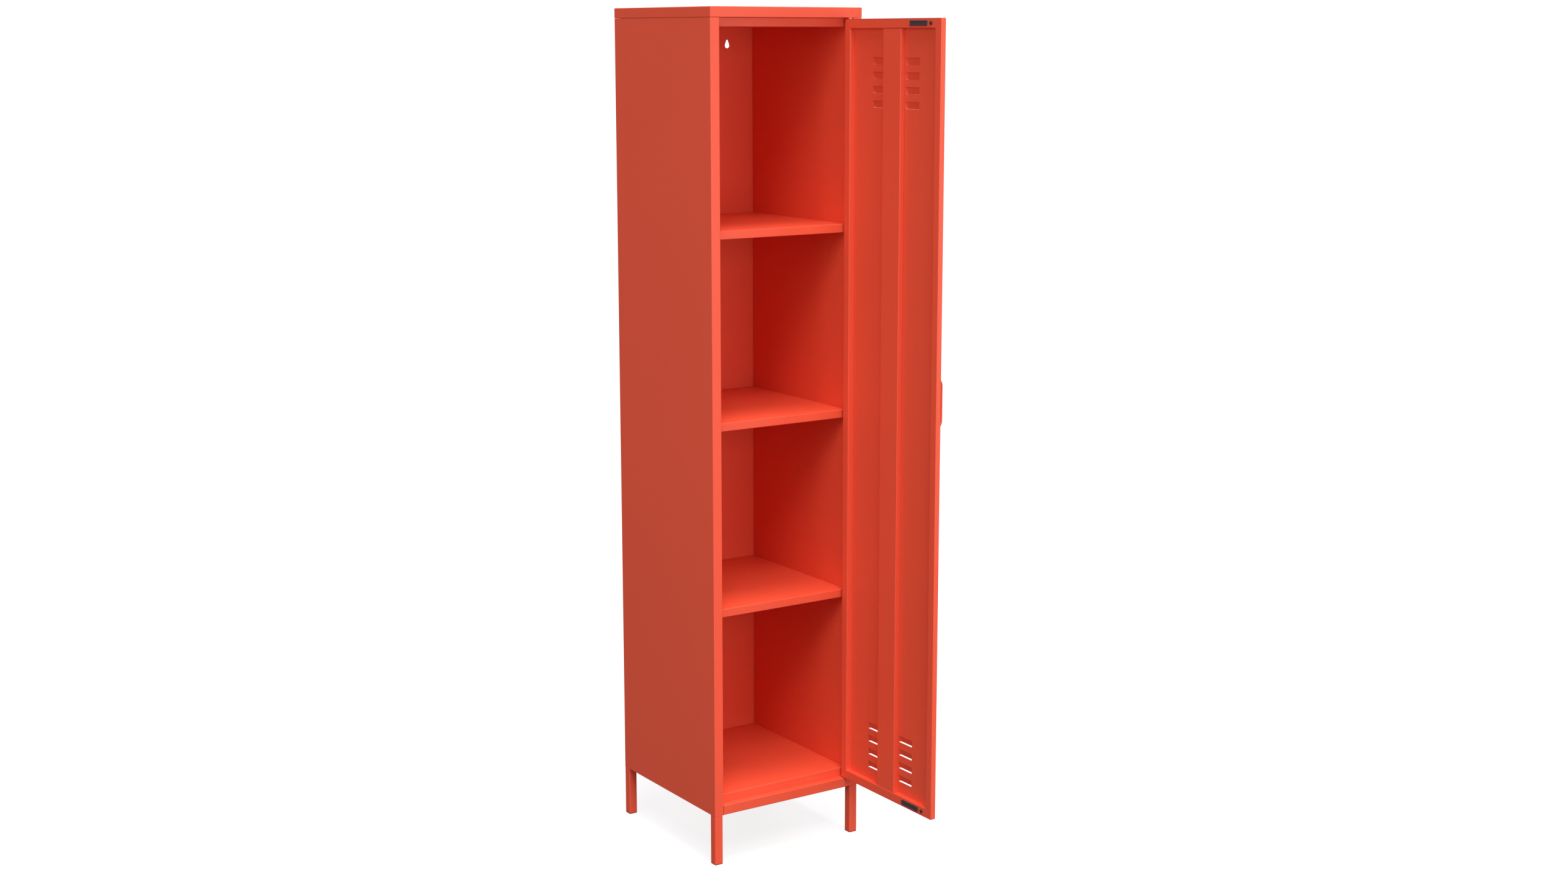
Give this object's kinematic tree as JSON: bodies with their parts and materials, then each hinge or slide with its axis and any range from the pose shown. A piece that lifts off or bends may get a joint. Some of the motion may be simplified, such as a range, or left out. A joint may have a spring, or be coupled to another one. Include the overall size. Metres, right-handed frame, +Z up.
{
  "type": "school locker",
  "caption": "Tall single-door steel school locker on square legs, with fixed shelves, a hinged louvred door, bow handle and magnetic catches.",
  "frame": {"origin": "on the floor, under the middle of the locker's box with its door standing open at a right angle", "axes": "+Z up, -Y towards the front, +X to the right seen from the front, which is the hinge side"},
  "size_m": [0.38, 0.7246, 1.85],
  "materials": {
    "coral_powder_coat": "satin coral red powder coat on folded steel sheet",
    "red_plastic": "matte dark red moulded plastic foot",
    "zinc_steel": "bright zinc plated steel",
    "white_nylon": "natural white nylon",
    "black_magnet": "black plastic bonded magnet strip",
    "black_rubber": "soft black rubber"
  },
  "bodies": {
    "cabinet": {"top_cap": "coral_powder_coat", "ceiling_panel": "coral_powder_coat", "back_panel": "coral_powder_coat", "base_pan": "coral_powder_coat", "deck_panel": "coral_powder_coat", "left_side_panel": "coral_powder_coat", "left_side_liner": "coral_powder_coat", "right_side_panel": "coral_powder_coat", "right_side_liner": "coral_powder_coat", "shelf_1": "coral_powder_coat", "shelf_1_runner_left": "coral_powder_coat", "shelf_1_runner_right": "coral_powder_coat", "shelf_2": "coral_powder_coat", "shelf_2_runner_left": "coral_powder_coat", "shelf_2_runner_right": "coral_powder_coat", "shelf_3": "coral_powder_coat", "shelf_3_runner_left": "coral_powder_coat", "shelf_3_runner_right": "coral_powder_coat", "leg_front_left": "coral_powder_coat", "foot_front_left": "red_plastic", "leg_bolt_front_left": "zinc_steel", "leg_front_right": "coral_powder_coat", "foot_front_right": "red_plastic", "leg_bolt_front_right": "zinc_steel", "leg_rear_left": "coral_powder_coat", "foot_rear_left": "red_plastic", "leg_bolt_rear_left": "zinc_steel", "leg_rear_right": "coral_powder_coat", "foot_rear_right": "red_plastic", "leg_bolt_rear_right": "zinc_steel", "hinge_pin_lower": "zinc_steel", "hinge_pin_upper": "zinc_steel"},
    "door": {"door_skin": "coral_powder_coat", "door_inner_frame": "coral_powder_coat", "door_rib": "coral_powder_coat", "hinge_bush_lower": "white_nylon", "hinge_bush_upper": "white_nylon", "handle": "coral_powder_coat", "handle_screw_lower": "zinc_steel", "handle_screw_upper": "zinc_steel", "magnet_lower": "black_magnet", "magnet_upper": "black_magnet", "bumper_lower": "black_rubber", "bumper_upper": "black_rubber"}
  },
  "joints": [
    {"name": "door_hinge", "type": "hinge", "parent": "cabinet", "child": "door", "pos_m": [0.1623, -0.0332, 0.981], "axis": [0, 0, 1], "range_deg": [-90, 10]}
  ]
}
